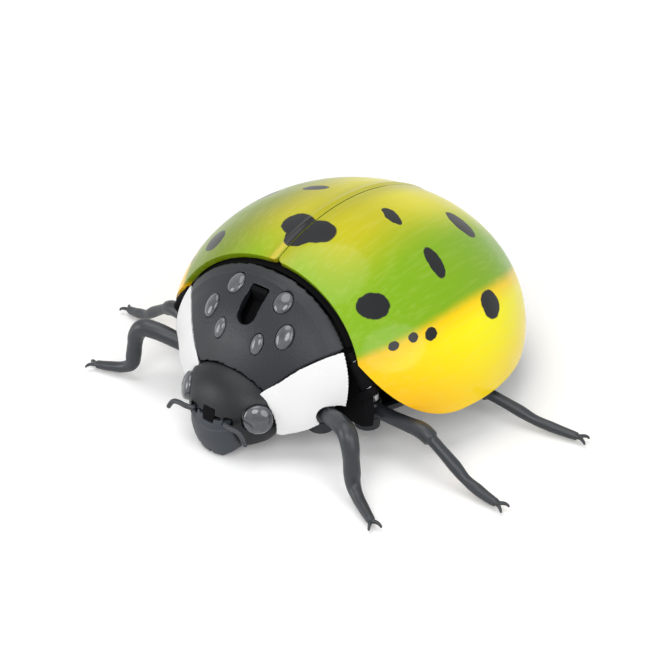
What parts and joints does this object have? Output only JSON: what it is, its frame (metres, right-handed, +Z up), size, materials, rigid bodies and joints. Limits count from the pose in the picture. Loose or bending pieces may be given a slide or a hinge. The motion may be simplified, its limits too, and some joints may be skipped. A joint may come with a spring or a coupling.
{
  "type": "solar toy robot",
  "caption": "Ladybird-shaped rolling toy robot with hinged spotted wing cases over a solar panel, clear lamp domes, a slide switch and swivelling bent legs.",
  "frame": {"origin": "on the ground under the middle of the body box", "axes": "+X to the robot's left, -Y to its front, +Z up"},
  "size_m": [0.1395, 0.1032, 0.0511],
  "materials": {
    "wing_case": "gloss, green to yellow with dark spots",
    "black_plastic": "satin, fine grained",
    "white_plastic": "satin, fine grained",
    "leg_plastic": "satin",
    "clear_lens": "clear gloss",
    "inner_plastic": "matt",
    "gear_plastic": "matt, natural",
    "board": "solder-resist green",
    "chip": "matt",
    "steel": "plain",
    "brass": "plain",
    "cell_sleeve": "shrink sleeve",
    "solar_cell": "dark blue under clear resin",
    "tyre_rubber": "matt"
  },
  "bodies": {
    "body": {"chassis_pan": "inner_plastic", "battery_door": "inner_plastic", "battery_door_screw": "steel", "rechargeable_cell": "cell_sleeve", "battery_contacts": "brass", "inner_cover": "inner_plastic", "cover_screws": "steel", "solar_panel": "solar_cell", "control_board": "board", "board_parts": "chip", "drive_motor": "steel", "gear_frame": "gear_plastic", "idler_pin": "steel", "roller_pin": "steel", "bulkhead": "inner_plastic", "left_hinge_pin": "steel", "right_hinge_pin": "steel", "thorax_shell": "black_plastic", "left_cheek": "white_plastic", "right_cheek": "white_plastic", "lamp_board": "board", "thorax_lamps": "clear_lens", "switch_body": "chip", "head_shell": "black_plastic", "jaw_plate": "black_plastic", "left_eye_lens": "clear_lens", "right_eye_lens": "clear_lens", "eye_lamps": "clear_lens", "face_sensor": "chip", "left_antenna": "black_plastic", "right_antenna": "black_plastic", "leg_screws": "steel"},
    "axle_set": {"drive_axle": "steel", "axle_gear": "gear_plastic", "left_wheel_hub": "gear_plastic", "right_wheel_hub": "gear_plastic", "left_tyre": "tyre_rubber", "right_tyre": "tyre_rubber"},
    "reduction_set": {"reduction_gear": "gear_plastic"},
    "motor_rotor": {"motor_shaft": "steel", "motor_pinion": "brass"},
    "roller": {"front_roller": "gear_plastic"},
    "switch": {"switch_slider": "black_plastic"},
    "left_wing": {"left_wing_case": "wing_case"},
    "right_wing": {"right_wing_case": "wing_case"},
    "left_front_leg_body": {"left_front_leg": "leg_plastic"},
    "left_middle_leg_body": {"left_middle_leg": "leg_plastic"},
    "left_hind_leg_body": {"left_hind_leg": "leg_plastic"},
    "right_front_leg_body": {"right_front_leg": "leg_plastic"},
    "right_middle_leg_body": {"right_middle_leg": "leg_plastic"},
    "right_hind_leg_body": {"right_hind_leg": "leg_plastic"}
  },
  "joints": [
    {"name": "left_wing_hinge", "type": "hinge", "parent": "body", "child": "left_wing", "pos_m": [0.0295, -0.0268, 0.0245], "axis": [0.6428, 0, -0.766], "range_deg": [0, 38]},
    {"name": "right_wing_hinge", "type": "hinge", "parent": "body", "child": "right_wing", "pos_m": [-0.0295, -0.0268, 0.0245], "axis": [0.6428, 0, 0.766], "range_deg": [0, 38]},
    {"name": "left_front_leg_swing", "type": "hinge", "parent": "body", "child": "left_front_leg_body", "pos_m": [0.0204, -0.0314, 0.011], "axis": [0, 0, 1], "range_deg": [-3, 13]},
    {"name": "left_middle_leg_swing", "type": "hinge", "parent": "body", "child": "left_middle_leg_body", "pos_m": [0.027, -0.0214, 0.011], "axis": [0, 0, 1], "range_deg": [-3, 13]},
    {"name": "left_hind_leg_swing", "type": "hinge", "parent": "body", "child": "left_hind_leg_body", "pos_m": [0.027, 0.0056, 0.011], "axis": [0, 0, 1], "range_deg": [-3, 13]},
    {"name": "right_front_leg_swing", "type": "hinge", "parent": "body", "child": "right_front_leg_body", "pos_m": [-0.0204, -0.0314, 0.011], "axis": [0, 0, 1], "range_deg": [-3, 13]},
    {"name": "right_middle_leg_swing", "type": "hinge", "parent": "body", "child": "right_middle_leg_body", "pos_m": [-0.027, -0.0214, 0.011], "axis": [0, 0, 1], "range_deg": [-3, 13]},
    {"name": "right_hind_leg_swing", "type": "hinge", "parent": "body", "child": "right_hind_leg_body", "pos_m": [-0.027, 0.0056, 0.011], "axis": [0, 0, 1], "range_deg": [-3, 13]},
    {"name": "switch_slide", "type": "slide", "parent": "body", "child": "switch", "axis": [0, -0.6428, -0.766], "range_m": [0, 0.0044]},
    {"name": "axle_spin", "type": "hinge", "parent": "body", "child": "axle_set", "pos_m": [0, 0.0096, 0.013], "axis": [1, 0, 0], "continuous": true},
    {"name": "reduction_spin", "type": "hinge", "parent": "body", "child": "reduction_set", "pos_m": [0, 0.00132, 0.01778], "axis": [1, 0, 0], "continuous": true},
    {"name": "motor_spin", "type": "hinge", "parent": "body", "child": "motor_rotor", "pos_m": [0, -0.00908, 0.01595], "axis": [1, 0, 0], "continuous": true},
    {"name": "roller_spin", "type": "hinge", "parent": "body", "child": "roller", "pos_m": [0, -0.0317, 0.0035], "axis": [1, 0, 0], "continuous": true}
  ],
  "couplings": [
    {"joint": "reduction_spin", "follows": "axle_spin", "ratio": -2.1667},
    {"joint": "motor_spin", "follows": "axle_spin", "ratio": 5.4167}
  ]
}
